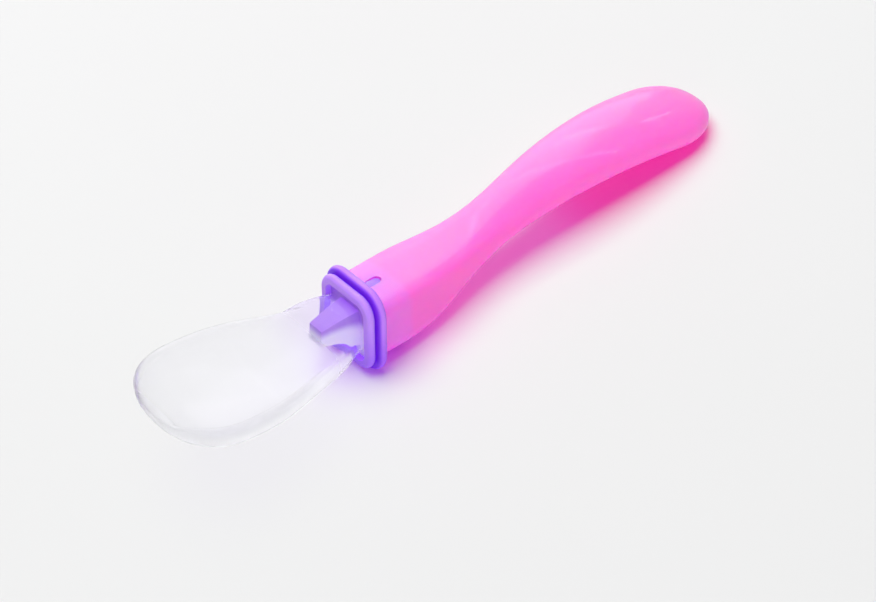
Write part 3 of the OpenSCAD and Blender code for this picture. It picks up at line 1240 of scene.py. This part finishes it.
@dataclass(frozen=True)
class Studio:
    """Pale table, soft overhead light and pale surroundings.

    Attributes:
        table: Colour of the table.
        worn: Brightness of its deepest patches.
        patches: Scale of the patches.
        table_half: Half of the table's side, in metres.
        table_roughness: Roughness of the table.
        table_gloss: Specular level of the table.
        shown: Colour of the surroundings where they are seen or mirrored.
        sky: Colour of the light that they give.
        sky_strength: Strength of that light.
        panels: The lamps.
    """

    table: Colour = (0.766, 0.767, 0.766)
    worn: float = 0.985
    patches: float = 8.0
    table_half: float = 3.0
    table_roughness: float = 0.7
    table_gloss: float = 0.2
    shown: Colour = (0.89, 0.89, 0.9)
    sky: Colour = (0.95, 0.95, 1.0)
    sky_strength: float = 0.04
    panels: tuple[SoftPanel, ...] = (
        SoftPanel("overhead", 75, 78, 2.0, 1.9, 1.9, 5.0, Use.LIGHT),
        SoftPanel("near_fill", -112, 3, 1.5, 2.6, 0.14, 14.0, Use.LIGHT),
        SoftPanel("window", 72, 20, 1.3, 1.6, 0.75, 1.8, Use.GLOSS),
        SoftPanel("ceiling", 72, 48, 1.3, 1.2, 0.7, 2.1, Use.GLOSS),
        SoftPanel("high_bar", 17, 59, 1.5, 2.3, 0.05, 6.0, Use.GLOSS),
        SoftPanel("low_bar", 53, 31, 1.5, 0.6, 0.03, 6.0, Use.GLOSS),
        SoftPanel("glint", 25, 28, 1.5, 0.12, 0.12, 4.5, Use.GLOSS),
    )

    def build_table(self) -> None:
        """Builds the table's top, just under the spoon."""
        s = self.table_half
        mesh = bpy.data.meshes.new("table")
        mesh.from_pydata([(-s, -s, 0), (s, -s, 0), (s, s, 0), (-s, s, 0)], [], [(0, 1, 2, 3)])
        table = make_object("table", mesh)
        nodes = Nodes("table")
        patch = tuple(self.worn * c for c in self.table)
        shader = nodes.add(
            "ShaderNodeBsdfPrincipled",
            Base_Color=nodes.mix(nodes.noise(self.patches, (0.0, 1.0)), self.table, patch),
            Roughness=self.table_roughness,
            Specular_IOR_Level=self.table_gloss,
        )
        mesh.materials.append(nodes.finish(shader))

    def build_sky(self) -> None:
        """Lights the surroundings evenly, and shows them pale where they are seen or mirrored."""
        nodes = Nodes("surroundings", world=True)
        lit = nodes.add("ShaderNodeBackground", Color=self.sky, Strength=self.sky_strength)
        seen = nodes.add("ShaderNodeBackground", Color=self.shown)
        diffuse = nodes.add("ShaderNodeLightPath").outputs["Is Diffuse Ray"]
        both = {0: diffuse, 1: seen.outputs[0], 2: lit.outputs[0]}
        bpy.context.scene.world = nodes.finish(nodes.add("ShaderNodeMixShader", both))

    def build(self) -> None:
        """Builds the table, the sky and the lamps."""
        self.build_table()
        self.build_sky()
        for panel in self.panels:
            panel.hang()


@dataclass(frozen=True)
class PhotoCamera:
    """Camera at the photograph's viewing angle, held in the head's axes.

    Attributes:
        azimuth: Compass angle, in degrees from square on to the near side.
        elevation: Angle above the head axis, in degrees.
        distance: Distance from the handle's mouth, in millimetres.
        px_per_mm: Scale of the picture at the mouth.
        mouth_px: Where the middle of the mouth lies in the picture.
        frame_px: Width and height of the picture.
        sensor: Width of the sensor, in millimetres.
        clip_start: Nearest distance that is seen, in metres.
    """

    azimuth: float = -38.3
    elevation: float = 37.0
    distance: float = 420.0
    px_per_mm: float = 4.8
    mouth_px: Span = (361.0, 315.1)
    frame_px: Span = (876.0, 602.0)
    sensor: float = 36.0
    clip_start: float = 0.01

    def place(self, head: HeadFrame) -> None:
        """Places the camera.

        Args:
            head: Axes of the head.
        """
        a, e = math.radians(self.azimuth), math.radians(self.elevation)
        back = Vector((math.sin(a) * math.cos(e), -math.cos(a) * math.cos(e), math.sin(e)))
        right = Vector((math.cos(a), math.sin(a), 0))
        up = back.cross(right)
        wide, high = self.frame_px
        aside = (self.mouth_px[0] - wide / 2) / self.px_per_mm
        above = (high / 2 - self.mouth_px[1]) / self.px_per_mm
        spot = (back * self.distance - right * aside - up * above) * MM
        data = bpy.data.cameras.new("camera")
        data.sensor_width = self.sensor
        data.lens = self.sensor * self.px_per_mm * self.distance / wide
        data.clip_start = self.clip_start
        camera = make_object("camera", data)
        axes = Matrix([head.turn(*v) for v in (right, up, back)]).transposed()
        camera.matrix_world = Matrix.Translation(head.mouth + head.turn(*spot)) @ axes.to_4x4()
        bpy.context.scene.camera = camera


def main() -> None:
    """Builds the spoon piece by piece, then the studio round it."""
    logging.basicConfig(level=logging.INFO, format="%(name)s: %(message)s")
    bpy.context.scene.view_settings.view_transform = "Standard"
    core = Core()
    head = HeadFrame.from_joints(frame["joints"], core.hinge)
    PhotoCamera().place(head)
    pieces = list(core.build())
    core.dress(*pieces, head)
    for part in (Handle(), Collar(), Bowl()):
        pieces.append(part.build(head))
        part.dress(pieces[-1], head)
    for piece in pieces:
        LOG.info("%s: %d faces", piece.name, len(piece.data.polygons))
    Studio().build()
    LOG.info("table, sky and lamps are set")


if __name__ == "__main__":
    main()
